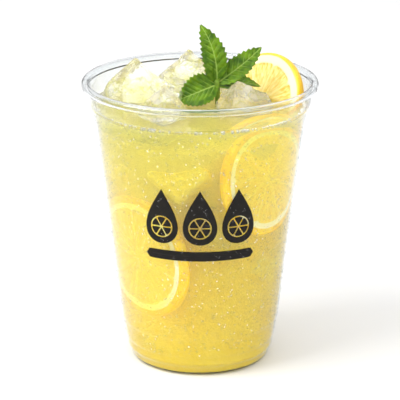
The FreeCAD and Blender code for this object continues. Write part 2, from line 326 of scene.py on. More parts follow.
CURL_STEPS = 22
FOOT_HEIGHT = 2.0  # from here up the wall only widens
RIM_FROM = 110.5  # above this height the sheet is thick enough to bend light
PLASTIC_TINT = (0.985, 0.99, 0.988)
RIM_TINTS = ((0.90, 0.93, 0.94), (0.97, 0.98, 0.98))
FILM_WAVES = 60.0  # scale of the film's ripples


def wall_path():
    """Middle line of the sheet from the axis to the top of the neck."""
    return rounded(((0.0, CUP_PROFILE[0][1]),) + CUP_PROFILE)


def curl_path():
    """Middle line of the rolled rim."""
    angles = np.radians(np.linspace(180, 180 - CURL_SWEEP, CURL_STEPS))
    centre = np.array([RIM_RADIUS - CURL_RADIUS, CUP_HEIGHT - CURL_RADIUS])
    return centre + (CURL_RADIUS - WALL / 2) * np.stack([np.cos(angles), np.sin(angles)], 1)


@functools.cache
def rising_wall(depth):
    """The cup's inner face above its foot, or a face that deep in the wall."""
    path = shifted(wall_path(), WALL / 2 - depth)
    start = int(np.argmax(path[:, 1] > FOOT_HEIGHT))
    return path[start:]


def inside_radius(height, depth=0.0):
    """Radius of the cup's inner face at a height, or of a face that deep in the wall."""
    path = rising_wall(depth)
    return np.interp(height, path[:, 1], path[:, 0])


def film_material(name, index, roughness, waves, tint):
    """Thin clear matter: light goes straight through, with a mirror film on the outer face."""
    nodes = Nodes(name)
    ripple = nodes.bump(nodes.noise(FILM_WAVES), waves)
    fresnel = nodes.add("Fresnel")
    fresnel.inputs["IOR"].default_value = index
    nodes.link(ripple, fresnel.inputs["Normal"])
    outside = nodes.math("SUBTRACT", 1.0, nodes.add("NewGeometry").outputs["Backfacing"])
    clear = nodes.add("BsdfTransparent")
    clear.inputs["Color"].default_value = (*tint, 1)
    film = nodes.add("BsdfGlossy")
    film.inputs["Roughness"].default_value = roughness
    nodes.link(ripple, film.inputs["Normal"])
    mix = nodes.add("MixShader")
    nodes.link(nodes.math("MULTIPLY", fresnel.outputs[0], outside), mix.inputs[0])
    nodes.link(clear.outputs[0], mix.inputs[1])
    nodes.link(film.outputs[0], mix.inputs[2])
    return nodes.finish(mix.outputs[0])


def rim_material():
    """The same plastic where it is seen edge on, so it bends light like glass."""
    nodes = Nodes("clear_rim")
    tint = nodes.mix(nodes.noise(scale=45.0), *RIM_TINTS)
    shade = nodes.surface(Base_Color=tint, Roughness=0.03, IOR=1.46, Transmission_Weight=1.0,
                          Normal=nodes.bump(nodes.noise(scale=90.0), distance=0.25))
    return nodes.finish(shade)


def make_cup():
    """The formed sheet with its rolled rim, turned about the axis."""
    path = np.concatenate([wall_path(), curl_path()[1:]])
    outside = shifted(path, -WALL / 2)
    inside = shifted(path, WALL / 2)
    outside[0, 0] = inside[0, 0] = 0.0
    cup = lathe("cup", np.concatenate([outside, inside[::-1]]))
    cup.data.materials.append(film_material(
        "clear_sheet", index=1.5, roughness=0.04, waves=0.6, tint=PLASTIC_TINT))
    cup.data.materials.append(rim_material())
    for face in cup.data.polygons:
        face.material_index = int(face.center.z > RIM_FROM * MM)
    return cup


# ---- Ice ----

ICE_NODES = ("ice_1", "ice_2", "ice_3", "ice_4", "ice_5")
ICE_GRAIN = 0.65  # voxel of the ice meshes
ICE_GAP = 0.08  # the drink reaches that far into the ice, so no air shows between
ICE_PAINTED_GLOW = (1.0, 0.97, 0.80)  # painted glow, given off by the ice itself, in place of light that would reach blocks lying in shade
ICE_PAINTED_GLOW_STRENGTH = 0.05
ICE_TINT = (1.0, 1.0, 0.985)
CRACK_TINT = (0.80, 0.82, 0.42)
SUNK_ICE_TINTS = ((1.0, 0.82, 0.14), (1.0, 0.87, 0.28))
FLOATING_SEED = 10
SUNK_SEED = 40
SEED_STEP = 3  # each block uses three seeds
CREASE_SIZE = 5.5  # of the ridges that melting leaves
CREASE_HEIGHT = 0.8
CREASE_LEVEL = 0.25  # the noise's level that parts ridge from hollow
SWELL_SIZE = 6.0
SWELL_HEIGHT = 0.32
DIMPLE_SIZE = 2.4
DIMPLE_HEIGHT = 0.2
MELT_LOSS = 0.15  # how far the whole surface has drawn back
BEVEL_WIDTH = 2.6
BEVEL_SEGMENTS = 3
WALL_GAP = 0.6  # sunk things stay that far from the cup
SUNK_ICE = (
    # (size, bearing, distance from the axis, height of the middle, turns about z, y and x)
    (19, 196, 22.0, 84.0, (12, 38, 24)),
    (20, 258, 23.0, 85.0, (65, 27, 40)),
    (18, 292, 21.0, 64.0, (30, 35, 12)),
    (19, 168, 20.0, 60.0, (80, 20, 33)),
    (20, 20, 22.0, 74.0, (40, 30, 28)),
    (19, 95, 23.0, 66.0, (5, 42, 20)),
    (18, 340, 19.0, 45.0, (55, 24, 41)),
)


def ice_material():
    """Clear wet ice with clouds of trapped air, fine cracks that hold the juice's colour, and a faint
    painted glow that lightens it where it lies in shade.
    """
    nodes = Nodes("ice")
    streaks = nodes.ramp(nodes.noise(scale=260.0, detail=5.0, roughness=0.65), 0.52, 0.7)
    lines = nodes.math("ABSOLUTE", nodes.math("SUBTRACT", nodes.noise(scale=150.0), 0.5))
    tint = nodes.mix(nodes.ramp(lines, 0.0, 0.045, 1.0, 0.0), ICE_TINT, CRACK_TINT)
    waves = nodes.math("ADD", nodes.noise(scale=210.0), nodes.math("MULTIPLY", streaks, 0.2))
    clouds = nodes.noise(scale=130.0, roughness=0.6)
    clearness = nodes.ramp(clouds, 0.38, 0.70, to_low=0.93, to_high=0.68)
    # the emission is painted light: a faint glow on every block
    shade = nodes.surface(Base_Color=tint, Roughness=0.02, IOR=1.31, Transmission_Weight=clearness,
                          Emission_Color=ICE_PAINTED_GLOW, Emission_Strength=ICE_PAINTED_GLOW_STRENGTH,
                          Normal=nodes.bump(waves, distance=0.8))
    return nodes.finish(shade)


def sunk_ice_material():
    """Ice under the surface, which shows only as a paler patch in the cloudy juice."""
    nodes = Nodes("ice_sunk")
    clouds = nodes.ramp(nodes.noise(scale=190.0, detail=4.0), 0.35, 0.7)
    shade = nodes.surface(Base_Color=nodes.mix(clouds, *SUNK_ICE_TINTS), Roughness=0.4, IOR=1.31,
                          Normal=nodes.bump(clouds, distance=0.4))
    return nodes.finish(shade)


def melted(piece, seed):
    """Softens a block's edges and makes its faces wavy, as melting does."""
    step = piece.modifiers.new("melt", "REMESH")
    step.mode = "VOXEL"
    step.voxel_size = ICE_GRAIN * MM
    apply_modifiers(piece)
    points = coordinates(piece.data)
    creases = CREASE_LEVEL - np.abs(noise_at(points, CREASE_SIZE, seed + 2))
    waves = SWELL_HEIGHT * noise_at(points, SWELL_SIZE, seed)
    waves = waves + DIMPLE_HEIGHT * noise_at(points, DIMPLE_SIZE, seed + 1)
    push_along_normals(piece.data, waves + CREASE_HEIGHT * creases - MELT_LOSS)
    smooth(piece.data)


def floating_ice(name, seed):
    """The melted form of one of the CAD's ice blocks."""
    block = copied(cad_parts[name], name + "_melted")
    melted(block, seed)
    return block


def turned(about_z, about_y, about_x):
    """The turn about x, then y, then z."""
    turn = Matrix.Rotation(math.radians(about_z), 3, "Z")
    turn = turn @ Matrix.Rotation(math.radians(about_y), 3, "Y")
    return turn @ Matrix.Rotation(math.radians(about_x), 3, "X")


def block_points(size, turns, centre):
    """Corners of a turned cube, in the order that BLOCK_FACES uses."""
    turn = turned(*turns)
    ends = (-size / 2, size / 2)
    corners = [Vector((x, y, z)) for z in ends for y in ends for x in ends]
    return [turn @ corner + centre for corner in corners]


BLOCK_FACES = ((0, 2, 3, 1), (4, 5, 7, 6), (0, 1, 5, 4), (2, 6, 7, 3), (0, 4, 6, 2), (1, 3, 7, 5))


def bearing_vector(bearing, length, height=0.0):
    """The point that far from the axis on a bearing."""
    angle = math.radians(bearing)
    return Vector((length * math.cos(angle), length * math.sin(angle), height))


def kept_inside(mesh, gap=WALL_GAP):
    """Draws in whatever would stand nearer to the cup's wall than the gap."""
    points = coordinates(mesh) / MM
    radius = np.hypot(points[:, 0], points[:, 1])
    limit = inside_radius(points[:, 2]) - gap
    points[:, :2] *= np.minimum(1.0, limit / np.maximum(radius, TINY))[:, None]
    points[:, 2] = np.minimum(points[:, 2], LEVEL - gap)
    set_coordinates(mesh, points * MM)


def sunk_ice(index):
    """A melted block in the drink, drawn in wherever it would come too close to the cup."""
    size, bearing, distance, height, turns = SUNK_ICE[index]
    corners = block_points(size, turns, bearing_vector(bearing, distance, height))
    block = new_object("ice_sunk_%d" % (index + 1), corners, BLOCK_FACES)
    step = block.modifiers.new("edges", "BEVEL")
    step.width = BEVEL_WIDTH * MM
    step.segments = BEVEL_SEGMENTS
    apply_modifiers(block)
    melted(block, SUNK_SEED + SEED_STEP * index)
    kept_inside(block.data)
    return block


def make_ice():
    """The blocks that show above the surface, and those under it."""
    floating = [floating_ice(name, FLOATING_SEED + SEED_STEP * index)
                for index, name in enumerate(ICE_NODES)]
    sunk = [sunk_ice(index) for index in range(len(SUNK_ICE))]
    for blocks, material in ((floating, ice_material()), (sunk, sunk_ice_material())):
        for block in blocks:
            block.data.materials.append(material)
    return floating, sunk


# ---- Drink ----

BITE = 0.15  # the drink reaches that far into the wall, so no air shows between
LAST_STEP = 0.2  # least height between the last two points of the wet wall
MENISCUS_RISE = 0.9
MENISCUS_REACH = 1.5
MENISCUS_RINGS = (0.35, 0.75, 1.2, 1.8, 2.6)  # distances from the wall, where the surface is steep
SURFACE_FROM = 3.6  # distance from the wall at which the even rings start
SURFACE_STEP = 1.1  # between those rings
SURFACE_BAND = 0.5  # points nearer than this to the level, and further from the wall, ripple
RIPPLE_HEIGHT = 0.22
RIPPLE_SIZE = 9.0
RIPPLE_SEED = 3
JUICE_DENSITY = 42.0  # how often light is scattered per metre
JUICE_DEPTH = 2.2  # absorption's density as a share of the scattering's
JUICE_COLOUR = (0.9998, 0.985, 0.0, 1)
SURFACE_TINT = (1.0, 0.985, 0.90)
CORE_INSET = 9.8  # between the cup and the cloudy core
CORE_FOOT_INSET = 0.7
CORE_FOOT = 8.0  # up to this height the core follows the cup
CORE_WIDE_HEIGHT = 24.0  # over this height above its foot it draws in
CORE_TOP = 99.0
CORE_DOME = 3.5
DOME_START = 0.96  # the dome's first ring, as a share of the side's radius
DOME_RINGS = 14
CORE_STEP = 3.0
CORE_SIDES = 96
CORE_WAVES = 0.03  # share of the radius by which the core's side waves
CORE_WAVE_SIZE = 14.0
CORE_SEED = 21
CORE_CLEARANCE = 0.5  # between the core and any ice
LOWER_TINTS = ((0.98, 0.735, 0.020), (1.0, 0.78, 0.045))
UPPER_TINT = (0.88, 0.76, 0.47)
UPPER_FROM = 55.0  # the core turns paler between these heights
UPPER_TO = 115.0
UPPER_BLUR = 30.0  # how far the pulp moves that change up and down


def wet_path(depth, top):
    """The cup's inside, that deep in the wall, from the axis up to a height."""
    path = shifted(wall_path(), WALL / 2 - depth)
    path[0, 0] = 0.0
    path = path[path[:, 1] < top - LAST_STEP]
    return np.concatenate([path, [[inside_radius(top, depth), top]]])


def surface_profile(edge):
    """The liquid's surface from near the wall to the axis: it climbs a little at the wall."""
    offsets = np.concatenate([MENISCUS_RINGS, np.arange(SURFACE_FROM, edge, SURFACE_STEP)])
    heights = LEVEL + MENISCUS_RISE * np.exp(-offsets / MENISCUS_REACH)
    return np.concatenate([np.stack([edge - offsets, heights], 1), [[0.0, LEVEL]]])


def make_drink(ice):
    """The lemonade: a body up to a faintly rippled surface."""
    wall = wet_path(BITE, LEVEL + MENISCUS_RISE)
    edge = wall[-1, 0]
    drink = lathe("lemonade_body", np.concatenate([wall, surface_profile(edge)]))
    points = coordinates(drink.data)
    inner = np.hypot(points[:, 0], points[:, 1]) < (edge - SURFACE_BAND) * MM
    open_water = (points[:, 2] > (LEVEL - SURFACE_BAND) * MM) & inner
    ripples = RIPPLE_HEIGHT * MM * noise_at(points, RIPPLE_SIZE, RIPPLE_SEED)
    points[:, 2] += np.where(open_water, ripples, 0.0)
    set_coordinates(drink.data, points)
    carve(drink, ice, -ICE_GAP)
    triangulate(drink.data)
    smooth(drink.data)
    drink.data.materials.append(drink_material())
    return drink


def drink_material():
    """Cloudy lemonade: a clear surface over juice that scatters light and takes out the blue."""
    nodes = Nodes("lemonade")
    waves = nodes.bump(nodes.noise(scale=110.0, detail=1.0), distance=0.15)
    shade = nodes.surface(Base_Color=SURFACE_TINT, Roughness=0.0, IOR=1.33,
                          Transmission_Weight=1.0, Normal=waves)
    scatter = nodes.add("VolumeScatter")
    scatter.inputs["Color"].default_value = (1, 1, 1, 1)
    scatter.inputs["Density"].default_value = JUICE_DENSITY
    absorb = nodes.add("VolumeAbsorption")
    absorb.inputs["Color"].default_value = JUICE_COLOUR
    absorb.inputs["Density"].default_value = JUICE_DENSITY * JUICE_DEPTH
    both = nodes.add("AddShader")
    nodes.link(scatter.outputs[0], both.inputs[0])
    nodes.link(absorb.outputs[0], both.inputs[1])
    return nodes.finish(shade, both.outputs[0])


def core_profile():
    """The core's outline: along the cup at its foot, further in above, and domed on top."""
    foot = wet_path(-CORE_FOOT_INSET, CORE_FOOT)
    heights = np.arange(CORE_FOOT, CORE_TOP, CORE_STEP)[1:]
    share = np.clip((heights - CORE_FOOT) / CORE_WIDE_HEIGHT, 0, 1)
    inset = CORE_FOOT_INSET + (CORE_INSET - CORE_FOOT_INSET) * share * share * (3 - 2 * share)
    side = np.stack([inside_radius(heights) - inset, heights], 1)
    dome = [[side[-1, 0] * share, CORE_TOP + CORE_DOME * (1 - share ** 2)]
            for share in np.linspace(DOME_START, 0.0, DOME_RINGS)]
    return np.concatenate([foot, side, dome])


def core_material():
    """Dense juice with pulp in it, paler towards the surface."""
    nodes = Nodes("lemonade_core")
    pulp = nodes.noise(scale=95.0, detail=5.0, roughness=0.6)
    split = nodes.add("SeparateXYZ")
    nodes.link(nodes.place(), split.inputs[0])
    height = nodes.math("ADD", split.outputs["Z"], nodes.math("MULTIPLY", pulp, UPPER_BLUR * MM))
    upper = nodes.ramp(height, UPPER_FROM * MM, UPPER_TO * MM)
    lower = nodes.mix(nodes.ramp(pulp, 0.35, 0.65), *LOWER_TINTS)
    shade = nodes.surface(Base_Color=nodes.mix(upper, lower, UPPER_TINT), Roughness=0.9,
                          Normal=nodes.bump(pulp, distance=1.5))
    return nodes.finish(shade)


def make_core(ice):
    """The cloudy middle of the drink, where light no longer gets through."""
    core = lathe("lemonade_core", core_profile(), CORE_SIDES)
    points = coordinates(core.data)
    radial = points * np.array([1, 1, 0])
    push = CORE_WAVES * noise_at(points, CORE_WAVE_SIZE, CORE_SEED)
    set_coordinates(core.data, points + radial * push[:, None])
    carve(core, ice, CORE_CLEARANCE)
    smooth(core.data)
    core.data.materials.append(core_material())
    return core


# ---- Lemon slices ----

SEGMENTS = 9
JITTER = 0.10  # how unequal the segments are, in radians
FLESH_SHARE = 0.80  # the flesh's radius as a share of the slice's
SEGMENT_CORE = 2.0
MEMBRANE = 0.7
FLESH_SOFT = 0.55  # rounding of the segments' corners
FLESH_DIP = 0.45
FLESH_RELIEF = 0.28  # how far the juice sacs stand out
FLESH_EDGE = 0.7  # from a segment's edge to its full dip
FACE_MARGIN = 0.01  # what is that near to the cut face belongs to it
SAC_SPREAD = 9.0  # scale of the sacs' pattern round the slice, and along the radius for each mm
SAC_LENGTH = 0.16
RIM_ROUND = 0.9  # rounding of the zest's edges
RIM_ANGLE = 80  # the rounding starts and ends that far from level
RIM_RINGS = 13
RIM_DROP = 0.05
FLESH_STEP = 1.1  # between the rings of the flesh and those of the pith
PITH_STEP = 0.4
FLESH_END = 1.5  # the wide rings end that far inside the flesh's edge
PITH_START = 1.4  # and the close ones start there
SLICE_SIDES = 234
SLICE_RADIUS = 23.0
SLICE_THICKNESS = 4.0
TOP_SLICE_BOX = "lemon_slice"
TOP_SLICE_FACING = 222.6
TOP_SLICE_LEAN = 27.0
TOP_SLICE_SEED = 5
SUNK_SLICES = (
    # (radius, thickness, bearing, distance from the axis, height, lean of the face up, turn)
    (26.3, 4.2, 216.0, 26.0, 49.8, -5.0, 20.0),
    (24.0, 4.2, 321.0, 31.3, 84.4, 8.0, 50.0),
    (22.5, 4.0, 70.0, 27.0, 48.0, -6.0, 80.0),
)
SUNK_SLICE_SEED = 30
SUNK_SLICE_WAVER = 0.5  # how far a soaked slice bends out of its plane
SUNK_SLICE_GAP = 0.25  # between it and the cup
SAC_SCALE = 170.0  # the material's scale along the radius, for each metre
ZEST_SHADE = (1.0, 0.88, 0.5)  # the zest's darker blotches, as a share of its colour
LEMON_SCATTER = (1.0, 0.75, 0.3)
DRY_LEMON = {
    "zest": (1.0, 0.62, 0.025), "flesh_dark": (0.87, 0.57, 0.07), "flesh_light": (1.0, 0.82, 0.30),
    "pith": (1.0, 0.88, 0.58), "zest_from": 0.935, "painted_glow": 0.0,
}
# soaked slices get a painted glow, emission in their own colour, that lifts them out of the shaded
# juice
WET_LEMON = {
    "zest": (1.0, 0.72, 0.0), "flesh_dark": (0.90, 0.66, 0.07), "flesh_light": (0.97, 0.78, 0.16),
    "pith": (1.0, 0.95, 0.74), "zest_from": 0.88, "painted_glow": 0.2,
}


def membrane_angles(seed):
    """Bearings of the membranes between the segments, in radians."""
    draw = random.Random(seed)
    step = 2 * math.pi / SEGMENTS
    return np.array([step * index + draw.uniform(-JITTER, JITTER) for index in range(SEGMENTS)])


def flesh_depth(radius, angle, size, membranes):
    """How far a point lies inside its juice segment, in mm; below zero in pith or membrane."""
    gaps = (angle[:, None] - membranes[None, :] + math.pi) % (2 * math.pi) - math.pi
    near = np.abs(gaps).min(1)
    side = radius * np.sin(np.minimum(near, math.pi / 2)) - MEMBRANE / 2
    outer = size * FLESH_SHARE - radius
    inner = radius - SEGMENT_CORE
    limits = np.stack([side, outer, inner], 1)
    return -FLESH_SOFT * np.log(np.exp(-limits / FLESH_SOFT).sum(1))


def slice_rings(size, thickness):
    """(radius, height) of the rings of one slice, from the middle of its top to that of its foot."""
    edge = size * FLESH_SHARE
    flat = np.concatenate([np.arange(1.0, edge - FLESH_END, FLESH_STEP),
                           np.arange(edge - PITH_START, size - RIM_ROUND, PITH_STEP)])
    half = thickness / 2
    top = [(radius, half) for radius in flat]
    turn = np.radians(np.linspace(RIM_ANGLE, -RIM_ANGLE, RIM_RINGS))
    bulge = [(size - RIM_ROUND + RIM_ROUND * math.cos(angle), (half - RIM_DROP) * math.sin(angle))
             for angle in turn]
    foot = [(radius, -half) for radius in flat[::-1]]
    return top + bulge + foot


def slice_ring(radius, height, size, half, depth, seed, waver):
    """Vertices of one ring: the flesh dips below pith and membranes, and its sacs stand out."""
    angles = round_angles(SLICE_SIDES)
    sign = 1 if height > 0 else -1
    on_face = abs(height) > half - FACE_MARGIN
    flesh = np.clip(depth / FLESH_EDGE, 0, 1) * on_face
    lengthwise = np.full(SLICE_SIDES, radius * SAC_LENGTH + sign)
    sacs = np.stack([SAC_SPREAD * np.cos(angles), SAC_SPREAD * np.sin(angles), lengthwise], 1)
    lift = -sign * flesh * (FLESH_DIP - FLESH_RELIEF * noise_at(sacs * MM, 1.0, seed))
    bend = waver * np.sin(2 * angles + seed) * (radius / size) ** 2
    return np.stack([radius * np.cos(angles), radius * np.sin(angles), height + lift + bend], 1)


def slice_turn(top, face):
    """The turn that brings a flat slice's upper edge to top and its cut side to face."""
    facing = Vector(face).normalized()
    across = Vector(top).cross(Vector(face)).normalized()
    return Matrix((across, facing.cross(across), facing)).transposed().to_4x4()


def make_slice(name, size, thickness, centre, top, face, seed, waver=0.0):
    """A round of lemon: face is the way its cut side looks and top the way its upper edge points."""
    rings = slice_rings(size, thickness)
    membranes = membrane_angles(seed)
    half = thickness / 2
    vertices = [(0.0, 0.0, half)]
    depths = [-1.0]
    shares = [0.0]
    for radius, height in rings:
        depth = flesh_depth(np.full(SLICE_SIDES, radius), round_angles(SLICE_SIDES), size, membranes)
        vertices += slice_ring(radius, height, size, half, depth, seed, waver).tolist()
        depths += depth.tolist()
        shares += [radius / size] * SLICE_SIDES
    vertices.append((0.0, 0.0, -half))
    piece = new_object(name, vertices, stacked_faces(len(rings), SLICE_SIDES, upwards=False))
    store(piece.data, "depth", depths + [-1.0])
    store(piece.data, "share", shares + [0.0])
    piece.matrix_world = Matrix.Translation(Vector(centre) * MM) @ slice_turn(top, face)
    return piece


def juice_grain(nodes):
    """(sacs, fibres): two patterns drawn out along the way from the slice's middle."""
    flat = nodes.vector("MULTIPLY", nodes.place(), (1.0, 1.0, 0.0))
    outward = nodes.vector("NORMALIZE", flat)
    along = nodes.add("CombineXYZ")
    radius = nodes.vector("LENGTH", flat)
    nodes.link(nodes.math("MULTIPLY", radius, SAC_SCALE), along.inputs["Z"])
    spread = nodes.vector("MULTIPLY", outward, (SAC_SPREAD, SAC_SPREAD, 0.0))
    grain = nodes.vector("ADD", spread, along.outputs[0])
    return nodes.cells(1.3, grain), nodes.noise(scale=2.4, detail=4.0, vector=grain)


def flesh_colour(nodes, sacs, fibres, depth, share, flesh_dark, flesh_light, pith):
    """Juice sacs inside the segments, and membranes that turn to pith outwards."""
    juice = nodes.mix(nodes.ramp(fibres, 0.36, 0.66), flesh_dark, flesh_light)
    juice = nodes.mix(nodes.ramp(sacs, 0.0, 0.22, to_low=0.45, to_high=0.0), juice, pith)
    blotch = nodes.noise(scale=120.0, detail=2.0)
    juice = nodes.mix(nodes.ramp(blotch, 0.35, 0.7, to_high=0.35), juice, flesh_light)
    membrane = nodes.mix(nodes.ramp(share, 0.74, FLESH_SHARE), flesh_light, pith)
    return nodes.mix(nodes.ramp(depth, -0.12, 0.32), membrane, juice)


def lemon_material(name, zest, flesh_dark, flesh_light, pith, zest_from, painted_glow):
    """Zest from a share of the radius on, thick pith, and juice sacs that point to the middle, with a
    painted glow in the slice's own colour at the given strength.
    """
    nodes = Nodes(name)
    depth = nodes.attribute("depth")
    share = nodes.attribute("share")
    sacs, fibres = juice_grain(nodes)
    inner = flesh_colour(nodes, sacs, fibres, depth, share, flesh_dark, flesh_light, pith)
    dark_zest = tuple(value * shade for value, shade in zip(zest, ZEST_SHADE))
    skin = nodes.mix(nodes.ramp(nodes.noise(scale=160.0), 0.35, 0.7), zest, dark_zest)
    edge = nodes.math("ADD", share, nodes.math("MULTIPLY", nodes.noise(scale=300.0), 0.012))
    rind = nodes.ramp(edge, zest_from, zest_from + 0.03)
    colour = nodes.mix(rind, inner, skin)
    pores = nodes.math("MULTIPLY", nodes.ramp(nodes.cells(900.0), 0.0, 0.5), rind)
    grain = nodes.math("MULTIPLY", fibres, nodes.ramp(depth, 0.0, 0.5))
    relief = nodes.math("ADD", pores, grain)
    # the emission is painted light: the slice glows in its own colour at the given strength
    shade = nodes.surface(Base_Color=colour, Roughness=0.32, IOR=1.4, Subsurface_Weight=0.2,
                          Subsurface_Radius=LEMON_SCATTER, Subsurface_Scale=0.0015,
                          Coat_Weight=0.25, Coat_Roughness=0.12, Emission_Color=colour,
                          Emission_Strength=painted_glow, Normal=nodes.bump(relief, distance=0.22))
    return nodes.finish(shade)


def slice_axes(facing, lean, turn=0.0):
    """(face, top) of a slice whose cut side looks along a bearing and up by the lean."""
    outward = bearing_vector(facing, 1.0)
    up = Vector((0, 0, 1))
    lean = math.radians(lean)
    face = outward * math.cos(lean) + up * math.sin(lean)
    top = up * math.cos(lean) - outward * math.sin(lean)
    top.rotate(Quaternion(face, math.radians(turn)))
    return face, top


def sunk_slice(index, material):
    """A soaked slice near the wall, drawn in wherever it would come too close to the cup."""
    size, thickness, bearing, distance, height, lean, turn = SUNK_SLICES[index]
    face, top = slice_axes(bearing, lean, turn)
    centre = bearing_vector(bearing, distance, height)
    piece = make_slice("lemon_slice_sunk_%d" % (index + 1), size, thickness, centre, top, face,
                       SUNK_SLICE_SEED + index, SUNK_SLICE_WAVER)
    piece.data.transform(piece.matrix_world)
    kept_inside(piece.data, SUNK_SLICE_GAP)
    piece.data.transform(piece.matrix_world.inverted())
    piece.data.materials.append(material)
    return piece


def make_slices():
    """The slice that stands out at the rim, and the sunk ones."""
    low, high = [np.array(corner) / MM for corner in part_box(TOP_SLICE_BOX)]
    face, top = slice_axes(TOP_SLICE_FACING, TOP_SLICE_LEAN)
    first = make_slice("lemon_slice_top", SLICE_RADIUS, SLICE_THICKNESS, (low + high) / 2,
                       top, face, TOP_SLICE_SEED)
    first.data.materials.append(lemon_material("lemon", **DRY_LEMON))
    wet = lemon_material("lemon_wet", **WET_LEMON)
    return first, [sunk_slice(index, wet) for index in range(len(SUNK_SLICES))]


# ---- Mint ----

LEAF_CUP_RADIUS = 11.0  # of the hollow across a leaf
LEAF_CUP_REACH = 9.0  # beyond this the hollow gets no deeper
LEAF_THICKNESS = 0.45
LEAF_ROWS = 132  # rows of vertices along a leaf
LEAF_HALF = 13  # columns on each side of the midrib
TOOTH_COUNT = 11
TOOTH_DEPTH = 0.85
TOOTH_PEAK = 0.8  # share of a tooth's length at which it is widest
TOOTH_ENDS = 8  # how soon the teeth fade in at the base and out at the tip
TOOTH_POWER = 5  # how close to the edge a tooth begins
WIDE_POWER = 0.75  # below 1, the leaf is widest nearer its base
BLUNT_POWER = 0.8
FULL_WIDTH = 9.0  # narrower leaves have smaller teeth and bulges
VEIN_COUNT = 8
VEIN_SLANT = 0.95  # how far a side vein runs forward for each millimetre outwards
VEIN_CURVE = 0.35
VEIN_WIDTH = 0.28
MIDRIB_WIDTH = 0.17  # at the tip, and how much wider it is at the base
MIDRIB_GAIN = 0.28
SIDE_VEIN = 0.8  # how clear the side veins are beside the midrib
VEIN_FADE = 1.15  # they fade to this less 1 at the leaf's edge
QUILT = 0.55  # how far the leaf bulges between its veins
QUILT_LEVEL = 0.6  # the share of a bulge that lies below the leaf's middle face
QUILT_FADE = 1.2  # it fades to this less 1 at the leaf's edge
CRUMPLE_HEIGHT = 0.22
CRUMPLE_SIZE = 3.2
EDGE_WAVE = 0.35  # height of the leaf's wavy edge, and how many waves it has
EDGE_WAVES = 3.2
UNDER_VEIN = 0.6  # how clear the veins are on the under face
EDGE_THINNESS = 0.35  # the leaf's edge as a share of its thickness
LEAF_SEED = 50
NO_AREA = 1e-9  # smaller grid cells, at the leaf's ends, have no direction
HEART = (7.0, 2.8, 118.0)  # where the leaves meet at the top of the stem
STEM_WIDTH = 2.2
STEM_LENGTH = 22.0
STEM_TAPER = 0.7
STEM_SIDES = 20
STEM_RINGS = 24
STEM_SQUARE = 3.4  # power of the rounded square of its section
STEM_CHAMFER = 0.55  # share of its width at its top end, and how soon it widens
STEM_WIDENING = 12
STEM_CROOK = 0.25  # how far it sways, and how often
STEM_CROOKS = 5
STEM_CAP = 0.1  # from an end's middle to its ring
STEM_VEIN = 0.55  # the stem is as pale as a weak vein
MINT_TINTS = ((0.034, 0.096, 0.003), (0.140, 0.265, 0.008))
VEIN_TINT = (0.32, 0.46, 0.09)
LEAVES = (
    # (length, width, drop, bearing, rise, roll, bend, sway), as in the CAD
    (24.5, 9.4, 0.2, 163, 72, -78, 70, -2.2),
    (24.0, 8.6, 0.6, 8, 41, 60, 60, -0.8),
    (18.0, 12.5, 1.2, 203, -8, -52, 22, 0.5),
    (21.0, 9.5, 1.7, 22, 7, 20, 40, 0.6),
    (9.0, 5.0, -0.3, 80, 66, 60, 20, 0.4),
    (8.0, 4.5, -0.7, 150, 40, -60, 14, -0.3),
)


def toothed(share, across, half, size):
    """How far from the midrib each point lies, with teeth on the edge that lean to the tip."""
    phase = (share * TOOTH_COUNT) % 1.0
    tooth = np.minimum(phase / TOOTH_PEAK, (1 - phase) / (1 - TOOTH_PEAK))
    ends = np.clip(np.minimum(share, 1 - share) * TOOTH_ENDS, 0, 1)
    return across * (half + TOOTH_DEPTH * size * tooth * ends * np.abs(across) ** TOOTH_POWER)


def leaf_veins(share, across, y, length, width):
    """(vein, bulge): how near each point is to a vein, and how high the leaf stands between them."""
    run = share * length - np.abs(y) * VEIN_SLANT - VEIN_CURVE * y * np.abs(y) / width
    spacing = length / VEIN_COUNT
    cycle = run / spacing + 0.5 * (y > 0)
    rib = np.abs((cycle + 0.5) % 1.0 - 0.5) * spacing
    side_vein = np.exp(-(rib / VEIN_WIDTH) ** 2)
    midrib = np.exp(-(y / (MIDRIB_WIDTH + MIDRIB_GAIN * (1 - share))) ** 2)
    fade = np.clip(VEIN_FADE - np.abs(across) ** 2, 0, 1)
    vein = np.maximum(midrib, SIDE_VEIN * side_vein * fade)
    return vein, np.sqrt(np.clip(rib / (spacing / 2), 0, 1)) * (1 - midrib)


def leaf_relief(share, across, y, length, width, fullness, bulge, seed):
    """Height of each point over the leaf's middle line: hollow, quilted, crumpled and wavy."""
    size = min(1.0, width / FULL_WIDTH)
    reach = np.clip(y, -LEAF_CUP_REACH, LEAF_CUP_REACH)
    height = LEAF_CUP_RADIUS - np.sqrt(LEAF_CUP_RADIUS ** 2 - reach ** 2)
    fade = np.clip(fullness, 0, 1) * np.clip(QUILT_FADE - np.abs(across) ** 3, 0, 1)
    height = height + QUILT * size * fade * (bulge - QUILT_LEVEL)
    spots = np.stack([share * length + 0 * y, y, 0 * y + seed], 2).reshape(-1, 3)
    crumple = CRUMPLE_HEIGHT * noise_at(spots * MM, CRUMPLE_SIZE, seed)
    height = height + crumple.reshape(height.shape)
    wave = np.sin(EDGE_WAVES * share * length / width + seed)
    return height + EDGE_WAVE * wave * np.abs(across) ** 3 * size


